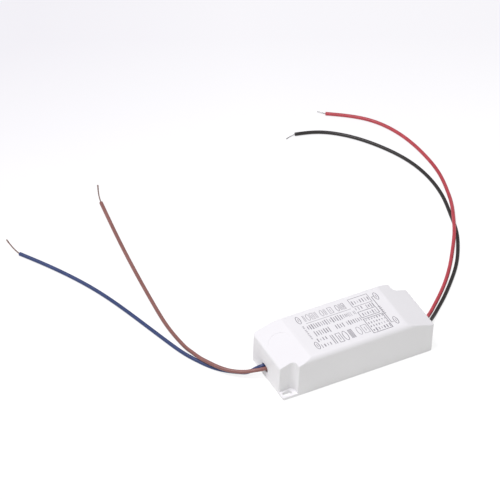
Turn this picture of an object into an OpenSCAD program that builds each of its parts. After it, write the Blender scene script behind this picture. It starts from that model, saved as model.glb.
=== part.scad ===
// Mains LED driver: a white plastic housing with sloping ends and two screw ears, closed below by a
// snap-in cover, with the circuit board, its parts and four wires. Millimetres, +Z up.
// The origin is the middle of the underside; +X points to the low-voltage output end.

/* [Housing] */
// Length of the housing
body_l = 95; // [90:0.5:115]
// Width of the housing
body_w = 38; // [36:0.5:48]
// Height at the flat middle of the roof
body_h = 25; // [23.5:0.5:32]
// Height of the two end walls
end_h = 19.2; // [17.5:0.1:22]
// Length of the flat middle of the roof
flat_l = 60; // [54:0.5:66]
// Thickness of the walls and the roof
wall = 1.6; // [1.4:0.1:2]
// Radius along the two long top edges
top_edge_r = 3; // [1:0.1:3.4]
// Radius of the upright corners
corner_r = 2.2; // [0.8:0.1:2.6]
// Radius across the two folds of the roof
fold_r = 6; // [1:0.5:8]
// Radius where the roof meets the end walls
end_edge_r = 1.5; // [0.3:0.1:1.8]
// Diameter of the shallow round recess in the input end's slope
recess_d = 13; // [9:0.5:14]
// Depth of the shallow round recess
recess_depth = 0.2; // [0.15:0.05:0.6]

/* [Ears] */
// Length of the corner notch above each ear
notch_l = 8.8; // [7.5:0.1:10]
// Width of the corner notch above each ear
notch_w = 5.6; // [5:0.1:7]
// Radius of the notch's inner corner
notch_r = 2.6; // [0.5:0.1:2.8]
// Radius of the notch's two upright outer edges
notch_edge_r = 0.8; // [0.3:0.1:1.2]
// Thickness of the ears
ear_t = 2; // [1.6:0.1:3]
// Radius of each ear's free corner
ear_r = 1; // [0.3:0.1:2]
// Width of the screw slot
slot_w = 3; // [2.6:0.1:3.6]
// End-to-end length of the screw slot
slot_l = 5.5; // [4:0.1:6]
// Distance of the slot's centre from the end of the housing
slot_in = 3.9; // [3.7:0.1:5]

/* [Wire holes] */
// Width of the hole that two wires share
hole_w = 6.4; // [6.2:0.1:9]
// Height of the hole that two wires share
hole_h = 4; // [3.8:0.1:6]
// Distance of the holes from the middle of the housing's width
hole_y = 3.4; // [3.2:0.1:3.6]

/* [Base cover] */
// Thickness of the cover
base_t = 1.4; // [1.2:0.1:2]
// Clearance between the cover and the housing
cover_gap = 0.15; // [0.1:0.05:0.3]
// Diameter of the posts that carry the board
post_d = 3; // [2.4:0.1:4]
// Width of each snap hook
hook_w = 6; // [4:0.5:8]
// Thickness of each snap hook
hook_t = 1.2; // [1:0.1:1.6]
// Height of each snap hook above the cover
hook_h = 7.5; // [6.5:0.1:10]
// How far each hook's barb bites into the wall
barb = 0.6; // [0.4:0.05:0.8]
// Distance of the hooks from the middle of the housing
hook_x = 14; // [11:0.5:18]

/* [Circuit board] */
// Thickness of the board
board_t = 1.2; // [1:0.1:1.6]
// Space under the board for the trimmed leads
standoff = 1.6; // [1.4:0.1:2.4]
// Clearance between the board and the housing
board_gap = 0.3; // [0.2:0.05:0.5]
// Thickness of the ribs that hold the board down
rib_t = 1.2; // [1:0.1:2]
// Depth of the ribs that hold the board down
rib_d = 2; // [1.6:0.1:2.4]
// Distance of the ribs and posts from the middle of the housing
rib_x = 25; // [23:0.5:27]
// Diameter of the parts' wire leads
lead_d = 0.7; // [0.5:0.05:0.8]
// Clearance of a lead in its drilled hole
lead_play = 0.2; // [0.1:0.05:0.3]
// Length of lead left under the board
lead_tail = 1.1; // [1:0.05:1.2]
// Diameter of a soldered joint on the board
joint_d = 2.2; // [1.8:0.1:2.4]
// Distance from each end of the housing to the wires' solder pads
pad_in = 8; // [7.6:0.1:8]
// Clear space between neighbouring rows of parts
part_gap = 0.8; // [0.5:0.1:1]

/* [Transformer] */
// Width of the ferrite core, across the board
core_w = 19; // [17:0.5:20]
// Length of the closed core, along the board
core_l = 16; // [14:0.5:17]
// Thickness of the ferrite core
core_t = 4.8; // [4:0.1:5.6]
// Width of the core's middle leg
leg_w = 4.8; // [4:0.1:5.4]
// Thickness of the core's back and outer legs
back_t = 2.4; // [2:0.1:2.8]
// Height of the winding
winding_h = 11.4; // [10:0.1:12.4]
// Wall of the bobbin
bobbin_wall = 0.8; // [0.6:0.1:1]
// Clearance between the bobbin and the core
core_play = 0.15; // [0.1:0.05:0.25]
// Thickness of the tape round the core
tape_t = 0.2; // [0.1:0.05:0.3]
// Distance between neighbouring transformer pins
pin_pitch = 3; // [2.5:0.1:3.6]

/* [Upright parts] */
// Diameter of the input capacitor
input_can_d = 10; // [8:0.5:10.5]
// Height of the input capacitor
input_can_h = 16; // [12:0.5:16.5]
// Diameter of the output capacitor
output_can_d = 10; // [8:0.5:10.5]
// Height of the output capacitor
output_can_h = 16; // [12:0.5:16.5]
// Diameter of the controller's supply capacitor
supply_can_d = 5; // [4:0.5:5.5]
// Height of the controller's supply capacitor
supply_can_h = 11; // [7:0.5:12]
// Thickness of the film capacitor
film_t = 6; // [5:0.1:7]
// Width of the film capacitor, across the board
film_w = 13; // [12:0.1:13.5]
// Height of the film capacitor
film_h = 11; // [9:0.5:12]
// Diameter of the filter choke
choke_d = 8; // [7:0.1:8.5]
// Height of the filter choke
choke_h = 9.5; // [8:0.5:11]
// Diameter of the varistor disc
varistor_d = 9; // [7:0.5:9.5]
// Thickness of the varistor disc
varistor_t = 3.6; // [3:0.1:4]
// Diameter of the safety capacitor disc
safety_d = 8.5; // [7:0.5:9]
// Thickness of the safety capacitor disc
safety_t = 3; // [2.4:0.1:3.4]

/* [Lying parts] */
// Length of the fuse resistor's body
fuse_l = 9; // [8:0.5:10]
// Diameter of the fuse resistor's body
fuse_d = 3.4; // [2.8:0.1:3.8]
// Length of the output diode's body
diode_l = 9; // [8:0.5:9.5]
// Diameter of the output diode's body
diode_d = 5; // [4:0.1:5.4]
// Length of the small resistors' and diode's bodies
small_l = 6; // [5:0.5:6.5]
// Diameter of the small resistors' and diode's bodies
small_d = 2.4; // [2:0.1:2.6]
// Length of the controller package
chip_l = 9.4; // [8.6:0.1:10]
// Length of the bridge rectifier package
bridge_l = 8.4; // [7.6:0.1:9]
// Width of the moulded packages
package_w = 6.4; // [6:0.1:6.6]
// Height of the moulded packages
package_h = 3.3; // [2.8:0.1:3.6]

/* [Wires] */
// Outer diameter of the brown and blue mains wires
input_wire_d = 2.2; // [1.8:0.1:2.2]
// Outer diameter of the red and black output wires
output_wire_d = 2.2; // [1.8:0.1:2.2]
// Clear space between the two wires of an end, where they cross its wall
wire_gap = 0.3; // [0.25:0.05:0.35]
// Diameter of the mains wires' twisted strands
input_strand_d = 0.8; // [0.6:0.05:0.8]
// Diameter of the output wires' tinned strands
output_strand_d = 0.6; // [0.4:0.05:0.6]

/* [Hidden] */

$fn = 48;
half_l = body_l / 2;
half_w = body_w / 2;
// Cutting shapes run past the faces they cut by this much
over = 1;
// The cover sits in a rebate that leaves this much of the wall standing round it
lip = wall / 2;
inner_w = half_w - wall;
slope = atan((body_h - end_h) / (half_l - flat_l / 2));
// Smallest radius left inside a rounded corner
least_r = 0.3;

// Heights through the housing
board_under = base_t + standoff;
board_top = board_under + board_t;
hole_z = board_top + hole_h / 2;
hook_top = base_t + hook_h;
catch_z = hook_top - 3 * barb;
hook_face = inner_w - cover_gap;

// Places of the parts on the board, worked outwards from the transformer in rows across the board
// The bobbin's pin blocks stand out past the core by this much in all
bobbin_overhang = 1;
bobbin_l = core_l + bobbin_overhang;
transformer_at = [6, 0];
control_x = transformer_at.x - bobbin_l / 2 - part_gap - chip_l / 2;
rectifier_x = control_x - chip_l / 2 - part_gap - max(input_can_d, bridge_l) / 2;
filter_x = rectifier_x - max(input_can_d, bridge_l) / 2 - part_gap - max(choke_d, film_t) / 2;
surge_x = filter_x - max(choke_d, film_t) / 2 - part_gap - varistor_t / 2;
// Bent leads reach past the two ends of a lying part by this much in all
diode_reach = 6;
fuse_reach = 4;
small_reach = 3.5;
diode_pitch = diode_l + diode_reach;
output_x = transformer_at.x + bobbin_l / 2 + part_gap + diode_pitch / 2;
small_pitch = small_l + small_reach;
fuse_pitch = fuse_l + fuse_reach;
chip_at = [control_x, 9];
clamp_diode_at = [control_x - 0.6, 3.3];
clamp_resistor_at = [control_x + 1.5, -3.6];
supply_at = [control_x + 1, -12];
bridge_at = [rectifier_x, 9];
input_can_at = [rectifier_x, -5.5];
film_at = [filter_x, 3.4];
choke_at = [filter_x, -9];
varistor_at = [surge_x, -5];
fuse_at = [surge_x - 0.5, 12.2];
safety_at = [transformer_at.x, core_w / 2 + tape_t + part_gap + safety_t / 2];
diode_at = [output_x, 9];
output_can_at = [output_x - 1, -6.5];
load_at = [output_x + diode_pitch / 2 + part_gap + small_pitch / 2, 4];
can_pitch = 5;
small_can_pitch = 2;
film_pitch = 10;
choke_pitch = 5;
disc_pitch = 5;
row_pitch = 2.54;
row_span = 7.62;
transformer_pins = 4;

// Dual-row packages stand on flat leads of this size, this far above the board
flat_lead_w = 0.5;
flat_lead_t = 0.3;
package_foot = 0.5;
// How far a flat lead reaches into its package
lead_bite = 1;

function pair(at, pitch, turn) = [for (s = [-1, 1]) at + s * pitch / 2 * [cos(turn), sin(turn)]];
function rows(at, count, pitch, span) =
    [for (k = [0:count - 1], s = [-1, 1]) at + [(k - (count - 1) / 2) * pitch, s * span / 2]];
function pin_rows() = [
    for (k = [0:transformer_pins - 1], s = [-1, 1])
        transformer_at + [s * (bobbin_l / 2 - back_t / 2), (k - (transformer_pins - 1) / 2) * pin_pitch]
];

round_leads = concat(
    pair(fuse_at, fuse_pitch, 0),
    pair(varistor_at, disc_pitch, 90),
    pair(film_at, film_pitch, 90),
    pair(choke_at, choke_pitch, 90),
    pair(input_can_at, can_pitch, 90),
    pair(supply_at, small_can_pitch, 0),
    pair(clamp_diode_at, small_pitch, 0),
    pair(clamp_resistor_at, small_pitch, 90),
    pair(safety_at, disc_pitch, 0),
    pair(diode_at, diode_pitch, 0),
    pair(output_can_at, can_pitch, 90),
    pair(load_at, small_pitch, 0),
    pin_rows()
);
flat_leads = concat(
    rows(bridge_at, 2, 2 * row_pitch, row_span),
    rows(chip_at, 4, row_pitch, row_span)
);

// The wires' free lengths, listed outwards from the end wall: distance past the wall, place across the
// housing, and height of the wire's underside above the floor
live_lay = [
    [4.7, 3.6, 5], [11.1, 7.1, 3.4], [15.6, 10.6, 2.7], [18.4, 13.4, 2.5], [23.1, 20.4, 2.3],
    [25.2, 24.3, 2.3], [27.2, 28.6, 2.2], [28.4, 34.2, 1.4], [29.7, 43, 0], [31, 60, 0], [30, 80, 0],
    [28, 102, 0], [25.5, 125, 0], [22.5, 148, 0], [18.5, 175, 0]
];
neutral_lay = [
    [3.5, 6.2, 3.9], [6.3, 7.4, 1.8], [9.5, 9.4, 0.2], [13.5, 12.1, 0], [18.5, 15.8, 0],
    [23, 20.5, 0], [27.6, 27.7, 0], [31.9, 36.4, 0], [36.5, 50, 0], [42, 69, 0], [48, 89, 0],
    [54.5, 107, 0], [62, 123, 0], [71, 139, 0], [80.5, 154, 0]
];
positive_lay = [
    [4.5, -0.3, 3.5], [9.8, 4, 1.4], [15.3, 8.8, 0], [23.5, 15.9, 0], [34.5, 26.4, 0],
    [44.5, 37.9, 0], [53.2, 49.6, 0.7], [60.4, 60.3, 2.3], [67.7, 74, 2.3], [73, 85, 1],
    [77.5, 98, 0], [81, 114, 0], [81.5, 132, 0], [78, 155, 0], [68.5, 174.2, 0], [46.5, 192, 0]
];
negative_lay = [
    [4.5, -3.2, 3.5], [10.9, 1.4, 1.4], [17, 6.7, 0], [25.5, 13.8, 0], [36.5, 24.2, 0],
    [47.5, 36.1, 0], [57, 50, 0], [63.5, 63, 0], [67.5, 76, 0], [71.5, 91, 0],
    [73.3, 108, 0], [70.5, 129, 0], [61.5, 149.5, 0], [46.5, 169, 0], [33.5, 178.2, 0],
    [20, 182.3, 0]
];
// The stripped ends go on from where the insulation stops
live_tail = [[16.7, 181.5, 0.1], [13.1, 190.8, 0]];
neutral_tail = [[81.4, 160.5, 0.1], [81.9, 169, 0]];
positive_tail = [[45.1, 194.4, 0.2], [43.5, 196.6, 0]];
negative_tail = [[16.7, 182.2, 0.2], [13.8, 181.4, 0]];
// Straight length of each wire past its solder pad, over the board
pad_run = 3.5;
// Where the middle of each pair of wires crosses its hole: to the side of the hole's middle, and below it
input_cross = [0.25, -0.3];
output_cross = [0, 0.6];
function crossing(pair_at, side, d) = pair_at + [side * (d + wire_gap) / 2, 0];

// A lay as points in the housing's frame; end is -1 at the input and 1 at the output
function laid(end, lay, d) = [for (p = lay) [end * (half_l + p.x), p.y, p.z + d / 2]];
// The wire's whole route: from its solder pad, through the hole and along its lay
function wire_route(end, at, lay, d) =
    let (pad_x = half_l - pad_in, y = -end * (hole_y + at.x), z = board_top + d / 2)
    concat(
        [[end * pad_x, y, z], [end * (pad_x + pad_run), y, z], [end * half_l, y, hole_z - at.y]],
        laid(end, lay, d)
    );
function tail_route(end, route, tail, d) = concat([route[len(route) - 1]], laid(end, tail, d));

live_route = wire_route(-1, crossing(input_cross, -1, input_wire_d), live_lay, input_wire_d);
neutral_route = wire_route(-1, crossing(input_cross, 1, input_wire_d), neutral_lay, input_wire_d);
positive_route = wire_route(1, crossing(output_cross, -1, output_wire_d), positive_lay, output_wire_d);
negative_route = wire_route(1, crossing(output_cross, 1, output_wire_d), negative_lay, output_wire_d);
wire_sides = 8;

function unit(v) = v / norm(v);

// Heading of a route at point i; the first heading can be given, so that two routes meet face to face
function heading(p, i, first) =
    i == 0 ? first
    : i == len(p) - 1 ? unit(p[i] - p[i - 1])
    : unit(unit(p[i] - p[i - 1]) + unit(p[i + 1] - p[i]));
function first_heading(p) = unit(p[1] - p[0]);
function last_heading(p) = unit(p[len(p) - 1] - p[len(p) - 2]);
function ring(centre, dir, r) =
    let (side = unit(cross(dir, [0, 0, 1])), up = cross(side, dir))
    [
        for (k = [0:wire_sides - 1])
            let (a = 360 * k / wire_sides)
            centre + r * (side * cos(a) + up * sin(a))
    ];

// A closed tube swept along a route, one ring of points at each route point
module swept_tube(route, d, first) {
    rings = len(route);
    points = [for (i = [0:rings - 1]) each ring(route[i], heading(route, i, first), d / 2)];
    sides = [
        for (i = [0:rings - 2], k = [0:wire_sides - 1])
            let (a = i * wire_sides + k, b = i * wire_sides + (k + 1) % wire_sides)
            each [[a, a + wire_sides, b], [b, a + wire_sides, b + wire_sides]]
    ];
    start_cap = [for (k = [0:wire_sides - 1]) k];
    end_cap = [for (k = [wire_sides - 1:-1:0]) (rings - 1) * wire_sides + k];
    polyhedron(points, concat(sides, [start_cap, end_cap]), convexity = 6);
}

// Corner geometry of a polygon: unit vectors back and on along its edges, and half the corner's angle
function back_dir(p, i) = unit(p[(i + len(p) - 1) % len(p)] - p[i]);
function on_dir(p, i) = unit(p[(i + 1) % len(p)] - p[i]);
function half_angle(p, i) = acos(back_dir(p, i) * on_dir(p, i)) / 2;
function is_convex(p, i) = cross(on_dir(p, i), back_dir(p, i)) > 0;
function arc_centre(p, i, r) = p[i] + unit(back_dir(p, i) + on_dir(p, i)) * r / sin(half_angle(p, i));
function arc_ends(p, i, r) =
    [for (d = [back_dir(p, i), on_dir(p, i)]) p[i] + d * r / tan(half_angle(p, i))];

// An anticlockwise polygon with a true arc of radius r[i] at each corner that has one, inside or outside
module rounded_polygon(p, r) {
    corners = [0:len(p) - 1];
    difference() {
        union() {
            polygon([for (i = corners) each r[i] > 0 ? arc_ends(p, i, r[i]) : [p[i]]]);
            for (i = corners)
                if (r[i] > 0 && is_convex(p, i)) translate(arc_centre(p, i, r[i])) circle(r[i]);
        }
        for (i = corners)
            if (r[i] > 0 && !is_convex(p, i)) translate(arc_centre(p, i, r[i])) circle(r[i]);
    }
}

module obround(length, width) {
    square([length - width, width], center = true);
    for (s = [-1, 1]) translate([s * (length - width) / 2, 0]) circle(d = width);
}

// Plan of the housing with its two notched corners, drawn in from the outer walls by inset
module plan(inset) {
    x = half_l - inset;
    y = half_w - inset;
    notch_x = half_l - notch_l - inset;
    notch_y = half_w - notch_w - inset;
    outer_r = max(corner_r - inset, least_r);
    edge_r = max(notch_edge_r - inset, least_r);
    inner_r = min(notch_r + inset, notch_w - 2 * least_r);
    rounded_polygon(
        [[-notch_x, -y], [x, -y], [x, notch_y], [notch_x, notch_y],
         [notch_x, y], [-x, y], [-x, -notch_y], [-notch_x, -notch_y]],
        [edge_r, outer_r, edge_r, inner_r, edge_r, outer_r, edge_r, inner_r]
    );
}

// Cross-section of the housing, with rounded long top edges
module cross_section(inset, drop) {
    y = half_w - inset;
    r = max(top_edge_r - inset, least_r);
    rounded_polygon(
        [[-y, -drop], [y, -drop], [y, body_h - inset], [-y, body_h - inset]],
        [0, 0, r, r]
    );
}

// Long section of the housing, with the roof that slopes down to both ends
module long_section(inset, drop) {
    x = half_l - inset;
    shoulder = end_h - inset;
    edge_r = max(end_edge_r - inset, least_r);
    rounded_polygon(
        [[-x, -drop], [x, -drop], [x, shoulder],
         [flat_l / 2, body_h - inset], [-flat_l / 2, body_h - inset], [-x, shoulder]],
        [0, 0, edge_r, fold_r, fold_r, edge_r]
    );
}

// The housing's outer form, or its hollow when drawn in by inset and carried down by drop
module housing_form(inset, drop) {
    intersection() {
        translate([0, 0, -drop]) linear_extrude(body_h + drop) plan(inset);
        rotate([90, 0, 90]) translate([0, 0, -half_l]) linear_extrude(body_l) cross_section(inset, drop);
        rotate([90, 0, 0]) translate([0, 0, -half_w]) linear_extrude(body_w) long_section(inset, drop);
    }
}

// Both ends are alike, turned half a turn
module both_ends() {
    children();
    rotate([0, 0, 180]) children();
}

module at_four(x, y) {
    for (sx = [-1, 1], sy = [-1, 1]) translate([sx * x, sy * y, 0]) children();
}

module ear() {
    far_x = -half_l + notch_l + lip;
    far_y = -half_w + notch_w + lip;
    linear_extrude(ear_t) rounded_polygon(
        [[-half_l, -half_w], [far_x, -half_w], [far_x, far_y], [-half_l, far_y]],
        [ear_r, 0, 0, 0]
    );
}

module ear_slot() {
    translate([-half_l + slot_in, -half_w + notch_w / 2, -over])
        linear_extrude(ear_t + 2 * over) obround(slot_l, slot_w);
}

module wire_hole() {
    translate([-half_l - over, hole_y, hole_z])
        rotate([90, 0, 90]) linear_extrude(wall + 2 * over) obround(hole_w, hole_h);
}

module board_ribs() {
    depth = rib_d + over;
    at_four(rib_x, inner_w - rib_d + depth / 2)
        translate([-rib_t / 2, -depth / 2, board_top]) cube([rib_t, depth, body_h]);
}

// Hooks and pockets are drawn for the +Y wall and turned for the other
module on_long_walls() {
    for (turn = [0, 180], s = [-1, 1])
        rotate([0, 0, turn]) translate([s * hook_x, 0, 0]) children();
}

module hook_pocket() {
    translate([-hook_w / 2 - cover_gap, inner_w - over, catch_z - cover_gap])
        cube([hook_w + 2 * cover_gap, over + barb + cover_gap, hook_top - catch_z + 2 * cover_gap]);
}

module slope_recess() {
    slope_mid = (half_l + flat_l / 2) / 2;
    translate([-slope_mid, hole_y, (body_h + end_h) / 2])
        rotate([0, -slope, 0]) translate([0, 0, -recess_depth])
            cylinder(d = recess_d, h = recess_depth + over);
}

module upper_housing() {
    color("whitesmoke") difference() {
        union() {
            housing_form(0, 0);
            both_ends() ear();
        }
        difference() {
            housing_form(wall, over);
            board_ribs();
        }
        translate([0, 0, -over]) linear_extrude(base_t + over) plan(lip);
        both_ends() ear_slot();
        both_ends() wire_hole();
        on_long_walls() hook_pocket();
        slope_recess();
    }
}

module snap_hook() {
    root = base_t / 2;
    tip = inner_w + barb;
    translate([-hook_w / 2, 0, 0]) rotate([90, 0, 90]) linear_extrude(hook_w) polygon([
        [hook_face - hook_t, root], [hook_face, root], [hook_face, catch_z], [tip, catch_z],
        [tip, catch_z + barb], [hook_face, hook_top], [hook_face - hook_t, hook_top]
    ]);
}

module base_cover() {
    post_y = inner_w - board_gap - post_d;
    color("whitesmoke") {
        linear_extrude(base_t) plan(lip + cover_gap);
        at_four(rib_x, post_y) translate([0, 0, base_t / 2])
            cylinder(d = post_d, h = board_under - base_t / 2);
        on_long_walls() snap_hook();
    }
}

module circuit_board() {
    hook_room = hook_t + board_gap;
    color("darkkhaki") difference() {
        translate([0, 0, board_under]) linear_extrude(board_t) plan(wall + board_gap);
        on_long_walls() translate([-hook_w / 2 - board_gap, hook_face - hook_room, 0])
            cube([hook_w + 2 * board_gap, hook_room + wall, body_h]);
        for (at = concat(round_leads, flat_leads))
            translate([at.x, at.y, 0]) cylinder(d = lead_d + lead_play, h = body_h);
    }
}

module round_lead(at, top) {
    translate([at.x, at.y, board_under - lead_tail])
        cylinder(d = lead_d, h = top - board_under + lead_tail);
}

module flat_lead_foot(at) {
    translate([at.x - flat_lead_w / 2, at.y - flat_lead_t / 2, board_under - lead_tail])
        cube([flat_lead_w, flat_lead_t, board_top - board_under + lead_tail]);
}

module joint_cone(at) {
    tip_d = lead_d + lead_play;
    joint_h = lead_tail - lead_play;
    translate([at.x, at.y, board_under - joint_h]) cylinder(d1 = tip_d, d2 = joint_d, h = joint_h);
}

// The stripped inner end of a wire lies in this mound; its flat side meets the insulation
module wire_joint(y, wire_d) {
    difference() {
        translate([half_l - pad_in, y, board_top]) cylinder(d1 = joint_d, d2 = wire_d, h = wire_d);
        translate([half_l - pad_in, y - joint_d, board_top - over])
            cube([joint_d, 2 * joint_d, wire_d + 2 * over]);
    }
}

module solder_joints() {
    color("silver") {
        for (at = round_leads) difference() {
            joint_cone(at);
            round_lead(at, board_top);
        }
        for (at = flat_leads) difference() {
            joint_cone(at);
            flat_lead_foot(at);
        }
        for (route = [positive_route, negative_route]) wire_joint(route[0].y, output_wire_d);
        for (route = [live_route, neutral_route]) rotate([0, 0, 180]) wire_joint(-route[0].y, input_wire_d);
    }
}

// A lead straight out of a lying part, bent down through the board
module bent_lead(pitch, height) {
    bend_r = lead_d;
    run = pitch / 2 - bend_r;
    drop = height + board_t + lead_tail;
    rotate([0, 90, 0]) cylinder(d = lead_d, h = run);
    translate([run, 0, -bend_r]) rotate([90, 0, 0]) rotate_extrude(angle = 90)
        translate([bend_r, 0]) circle(d = lead_d);
    translate([pitch / 2, 0, -drop]) cylinder(d = lead_d, h = drop - bend_r);
}

module lying_part(at, turn, length, d, pitch) {
    end_r = d / 6;
    translate([at.x, at.y, board_top + d / 2]) rotate([0, 0, turn]) {
        rotate([0, 90, 0]) translate([0, 0, -length / 2]) rotate_extrude() rounded_polygon(
            [[0, 0], [d / 2, 0], [d / 2, length], [0, length]],
            [0, end_r, end_r, 0]
        );
        for (s = [0, 180]) rotate([0, 0, s]) bent_lead(pitch, d / 2);
    }
}

// An upright electrolytic can with a rolled groove near its seal and a rounded top edge
module upright_can(at, d, h, pitch, turn) {
    groove_r = d / 20;
    groove_z = d / 5;
    top_r = d / 14;
    translate([at.x, at.y, board_top]) rotate_extrude() difference() {
        rounded_polygon([[0, 0], [d / 2, 0], [d / 2, h], [0, h]], [0, 0, top_r, 0]);
        translate([d / 2 + groove_r / 2, groove_z]) circle(groove_r);
    }
    for (lead = pair(at, pitch, turn)) round_lead(lead, board_top + groove_z);
}

// A coated disc on edge, standing on its two leads
module upright_disc(at, d, t, turn) {
    rim_r = t / 2;
    stand = 1;
    centre_z = board_top + stand + d / 2;
    translate([at.x, at.y, centre_z]) rotate([90, 0, turn]) rotate_extrude() {
        translate([0, -rim_r]) square([d / 2 - rim_r, t]);
        translate([d / 2 - rim_r, 0]) circle(rim_r);
    }
    for (lead = pair(at, disc_pitch, turn)) round_lead(lead, centre_z);
}

// A moulded package with a row of flat leads down each long side
module dual_row(at, length, count, pitch) {
    waist = package_w / 16;
    index_r = package_h / 4;
    under = board_top + package_foot;
    shoulder = under + package_h / 2;
    translate([at.x, at.y, 0]) {
        difference() {
            translate([-length / 2, 0, under]) rotate([90, 0, 90]) linear_extrude(length) polygon([
                [-package_w / 2 + waist, 0], [package_w / 2 - waist, 0], [package_w / 2, package_h / 2],
                [package_w / 2 - waist, package_h], [-package_w / 2 + waist, package_h],
                [-package_w / 2, package_h / 2]
            ]);
            translate([-length / 2, 0, under + package_h - index_r / 2])
                cylinder(r = index_r, h = package_h);
        }
        for (k = [0:count - 1], turn = [0, 180])
            translate([(k - (count - 1) / 2) * pitch, 0, 0]) rotate([0, 0, turn])
                translate([-flat_lead_w / 2, 0, 0]) rotate([90, 0, 90])
                    linear_extrude(flat_lead_w) flat_lead(shoulder);
    }
}

module flat_lead(shoulder) {
    root = package_w / 2 - lead_bite;
    inner = row_span / 2 - flat_lead_t / 2;
    outer = row_span / 2 + flat_lead_t / 2;
    polygon([
        [root, shoulder - flat_lead_t / 2], [inner, shoulder - flat_lead_t / 2],
        [inner, board_under - lead_tail], [outer, board_under - lead_tail],
        [outer, shoulder + flat_lead_t / 2], [root, shoulder + flat_lead_t / 2]
    ]);
}

module fuse_resistor() {
    color("seagreen") lying_part(fuse_at, 0, fuse_l, fuse_d, fuse_pitch);
}

module varistor() {
    color("royalblue") upright_disc(varistor_at, varistor_d, varistor_t, 90);
}

module film_capacitor() {
    edge_r = 0.6;
    foot = 0.4;
    foot_w = film_t / 4;
    x = film_t / 2;
    y = film_w / 2;
    color("gold") {
        translate([film_at.x, film_at.y, board_top + foot]) linear_extrude(film_h - foot) rounded_polygon(
            [[-x, -y], [x, -y], [x, y], [-x, y]],
            [edge_r, edge_r, edge_r, edge_r]
        );
        for (s = [-1, 1])
            translate([film_at.x - foot_w / 2, film_at.y + s * film_w / 4 - foot_w / 2, board_top])
                cube([foot_w, foot_w, 2 * foot]);
        for (lead = pair(film_at, film_pitch, 90)) round_lead(lead, board_top + 2 * foot);
    }
}

choke_waist_d = choke_d / 2;
choke_flange = choke_h / 8;

module choke_core() {
    color("dimgray") {
        translate([choke_at.x, choke_at.y, board_top]) rotate_extrude() polygon([
            [0, 0], [choke_d / 2, 0], [choke_d / 2, choke_flange], [choke_waist_d / 2, choke_flange],
            [choke_waist_d / 2, choke_h - choke_flange], [choke_d / 2, choke_h - choke_flange],
            [choke_d / 2, choke_h], [0, choke_h]
        ]);
        for (lead = pair(choke_at, choke_pitch, 90)) round_lead(lead, board_top + choke_flange / 2);
    }
}

module choke_winding() {
    fill = 0.9;
    color("peru") translate([choke_at.x, choke_at.y, board_top + choke_flange]) difference() {
        cylinder(d = choke_d * fill, h = choke_h - 2 * choke_flange);
        translate([0, 0, -over]) cylinder(d = choke_waist_d, h = choke_h);
    }
}

module bridge_rectifier() {
    color("#2b2b2b") dual_row(bridge_at, bridge_l, 2, 2 * row_pitch);
}

module input_capacitor() {
    color("#20242c") upright_can(input_can_at, input_can_d, input_can_h, can_pitch, 90);
}

module controller_chip() {
    color("#262626") dual_row(chip_at, chip_l, 4, row_pitch);
}

module supply_capacitor() {
    color("#20242c") upright_can(supply_at, supply_can_d, supply_can_h, small_can_pitch, 0);
}

module clamp_diode() {
    color("#303030") lying_part(clamp_diode_at, 0, small_l, small_d, small_pitch);
}

module clamp_resistor() {
    color("lightsteelblue") lying_part(clamp_resistor_at, 90, small_l, small_d, small_pitch);
}

// Transformer: the bobbin lies along X, and one E-shaped core half slides in from each end
window_l = core_l - 2 * back_t;
tube_w = leg_w + 2 * (core_play + bobbin_wall);
tube_h = core_t + 2 * (core_play + bobbin_wall);
flange_t = bobbin_wall;
flange_w = core_w - 2 * back_t - 2 * core_play;
flange_h = winding_h + 2 * bobbin_wall;
pin_block_h = (flange_h - core_t) / 2 - core_play;
core_z = board_top + flange_h / 2;
winding_l = window_l - 2 * flange_t - 2 * core_play;
winding_w = flange_w - 2 * bobbin_wall;

module along_x(length) {
    translate([transformer_at.x - length / 2, transformer_at.y, core_z])
        rotate([90, 0, 90]) linear_extrude(length) children();
}

module transformer_bobbin() {
    bobbin_end = winding_l + 2 * flange_t;
    block_l = (bobbin_l - winding_l) / 2;
    color("#3a3a3a") {
        difference() {
            union() {
                along_x(bobbin_end) square([tube_w, tube_h], center = true);
                for (s = [-1, 1]) translate([s * (winding_l + flange_t) / 2, 0, 0])
                    along_x(flange_t) square([flange_w, flange_h], center = true);
            }
            along_x(bobbin_end + 2 * over)
                square([leg_w + 2 * core_play, core_t + 2 * core_play], center = true);
        }
        for (s = [-1, 1])
            translate([transformer_at.x + s * (bobbin_l - block_l) / 2, transformer_at.y, board_top])
                translate([-block_l / 2, -flange_w / 2, 0]) cube([block_l, flange_w, pin_block_h]);
        for (pin = pin_rows()) round_lead(pin, board_top + pin_block_h / 2);
    }
}

module transformer_winding() {
    r = 1.5;
    w = winding_w / 2;
    h = winding_h / 2;
    color("goldenrod") along_x(winding_l) difference() {
        rounded_polygon([[-w, -h], [w, -h], [w, h], [-w, h]], [r, r, r, r]);
        square([tube_w, tube_h], center = true);
    }
}

module core_half() {
    leg_x = core_l / 2 - back_t;
    translate([transformer_at.x, transformer_at.y, core_z - core_t / 2]) linear_extrude(core_t) polygon([
        [-core_l / 2, -core_w / 2], [0, -core_w / 2], [0, back_t - core_w / 2],
        [-leg_x, back_t - core_w / 2], [-leg_x, -leg_w / 2], [0, -leg_w / 2], [0, leg_w / 2],
        [-leg_x, leg_w / 2], [-leg_x, core_w / 2 - back_t], [0, core_w / 2 - back_t],
        [0, core_w / 2], [-core_l / 2, core_w / 2]
    ]);
}

module transformer_core_left() {
    color("#46484a") core_half();
}

module transformer_core_right() {
    color("#46484a") translate([2 * transformer_at.x, 2 * transformer_at.y, 0])
        rotate([0, 0, 180]) core_half();
}

module transformer_tape() {
    tape_h = core_t - 2 * tape_t;
    color("gold") translate([transformer_at.x, transformer_at.y, core_z - tape_h / 2])
        linear_extrude(tape_h) difference() {
            square([core_l + 2 * tape_t, core_w + 2 * tape_t], center = true);
            square([core_l, core_w], center = true);
        }
}

module safety_capacitor() {
    color("steelblue") upright_disc(safety_at, safety_d, safety_t, 0);
}

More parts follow.
